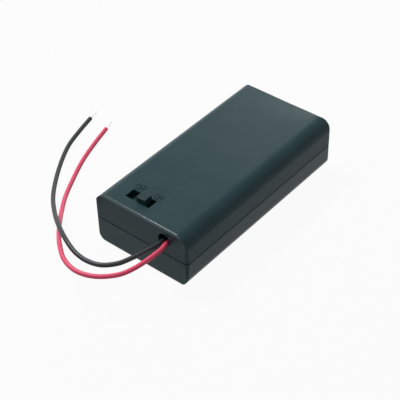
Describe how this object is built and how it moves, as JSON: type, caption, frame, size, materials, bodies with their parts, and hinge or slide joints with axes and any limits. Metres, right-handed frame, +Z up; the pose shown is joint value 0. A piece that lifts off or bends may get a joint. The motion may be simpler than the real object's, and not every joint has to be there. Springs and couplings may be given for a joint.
{
  "type": "covered cylindrical cell holder with switch and leads",
  "caption": "Rectangular plastic holder for round cells lying side by side, with a slide-off cover, a slide switch in its roof and red and black wire leads from one end.",
  "frame": {"origin": "centre of the closed box in plan, on the surface that its cover rests on, leads left out", "axes": "+Z up through the roof with the switch, +X along the cells from the lead end to the far end, +Y to the far long side from the lead hole"},
  "size_m": [0.0912, 0.0776, 0.0201],
  "materials": {
    "case_plastic": "moulded ABS, fine satin",
    "cover_plastic": "moulded ABS, fine satin",
    "slider_plastic": "moulded nylon",
    "board": "paper phenolic sheet",
    "bridge_bronze": "phosphor bronze spring",
    "terminal_brass": "stamped brass",
    "contact_steel": "nickel-plated steel sheet",
    "spring_steel": "nickel-plated spring wire",
    "red_pvc": "PVC insulation",
    "black_pvc": "PVC insulation",
    "tinned_wire": "tinned stranded copper",
    "solder": "solder"
  },
  "bodies": {
    "case": {"case": "case_plastic", "switch_board": "board", "live_terminal": "terminal_brass", "feed_terminal": "terminal_brass", "positive_contact": "contact_steel", "negative_contact": "contact_steel", "negative_spring": "spring_steel", "link_plate": "contact_steel", "link_spring": "spring_steel", "red_lead": "red_pvc", "black_lead": "black_pvc", "red_lead_tip": "tinned_wire", "black_lead_tip": "tinned_wire", "jumper_wire": "red_pvc", "red_lead_joint": "solder", "black_lead_joint": "solder", "jumper_switch_joint": "solder", "jumper_contact_joint": "solder"},
    "cover": {"cover": "cover_plastic"},
    "slider": {"switch_slider": "slider_plastic", "switch_bridge": "bridge_bronze"}
  },
  "joints": [
    {"name": "cover_slide", "type": "slide", "parent": "case", "child": "cover", "axis": [-1, 0, 0], "range_m": [0, 0.062]},
    {"name": "switch_slide", "type": "slide", "parent": "case", "child": "slider", "axis": [0, 1, 0], "range_m": [0, 0.0023]}
  ]
}
